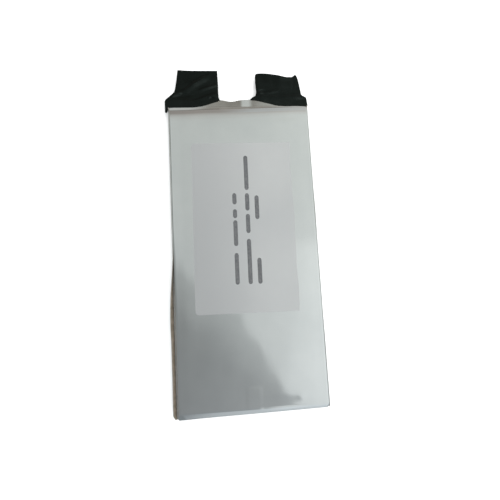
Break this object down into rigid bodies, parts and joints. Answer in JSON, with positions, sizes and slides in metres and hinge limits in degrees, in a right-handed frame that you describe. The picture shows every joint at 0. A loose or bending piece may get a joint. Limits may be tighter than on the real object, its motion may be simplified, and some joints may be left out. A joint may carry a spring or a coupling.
{
  "type": "pouch battery cell",
  "caption": "Flat rectangular lithium-ion pouch cell in foil laminate, with bendable tape-wrapped terminal tabs at one end and a plain label on its face.",
  "frame": {"origin": "centre of the cell's footprint, tabs and tape included, on the plane its rear face rests on", "axes": "+Z out of the front face, through the thickness; +Y along the length, from the bottom fold to the tabs; +X across the width, to the right as the front face is read with the tabs up"},
  "size_m": [0.103, 0.2438, 0.0111],
  "materials": {
    "laminate": "satin",
    "seal_laminate": "satin",
    "adhesive": "satin",
    "positive_tab": "satin",
    "negative_tab": "satin",
    "seal_film": "satin",
    "insulating_tape": "satin",
    "cathode_foil": "satin",
    "cathode_coating": "matte",
    "anode_foil": "satin",
    "anode_coating": "matte",
    "separator_film": "matte",
    "stack_tape": "satin",
    "label_paper": "matte"
  },
  "bodies": {
    "cell": {"front_laminate": "laminate", "rear_laminate": "laminate", "top_seal": "seal_laminate", "left_side_seal": "seal_laminate", "right_side_seal": "seal_laminate", "left_fold_adhesive": "adhesive", "right_fold_adhesive": "adhesive", "positive_tab_root": "positive_tab", "negative_tab_root": "negative_tab", "positive_seal_film_front": "seal_film", "positive_seal_film_rear": "seal_film", "negative_seal_film_front": "seal_film", "negative_seal_film_rear": "seal_film", "positive_tape_band": "insulating_tape", "negative_tape_band": "insulating_tape", "cathode_foils": "cathode_foil", "cathode_coatings": "cathode_coating", "anode_foils": "anode_foil", "anode_coatings": "anode_coating", "separator": "separator_film", "stack_tape_left_upper": "stack_tape", "stack_tape_left_lower": "stack_tape", "stack_tape_right_upper": "stack_tape", "stack_tape_right_lower": "stack_tape", "stack_tape_bottom": "stack_tape", "positive_weld_tape": "stack_tape", "negative_weld_tape": "stack_tape", "label": "label_paper"},
    "positive_tab": {"positive_tab_blade": "positive_tab", "positive_tape_sleeve": "insulating_tape"},
    "negative_tab": {"negative_tab_blade": "negative_tab", "negative_tape_sleeve": "insulating_tape"}
  },
  "joints": [
    {"name": "positive_tab_bend", "type": "hinge", "parent": "cell", "child": "positive_tab", "pos_m": [-0.029, 0.1026, 0.0055], "axis": [1, 0, 0], "range_deg": [-10, 90]},
    {"name": "negative_tab_bend", "type": "hinge", "parent": "cell", "child": "negative_tab", "pos_m": [0.029, 0.1026, 0.0055], "axis": [1, 0, 0], "range_deg": [-10, 90]}
  ]
}
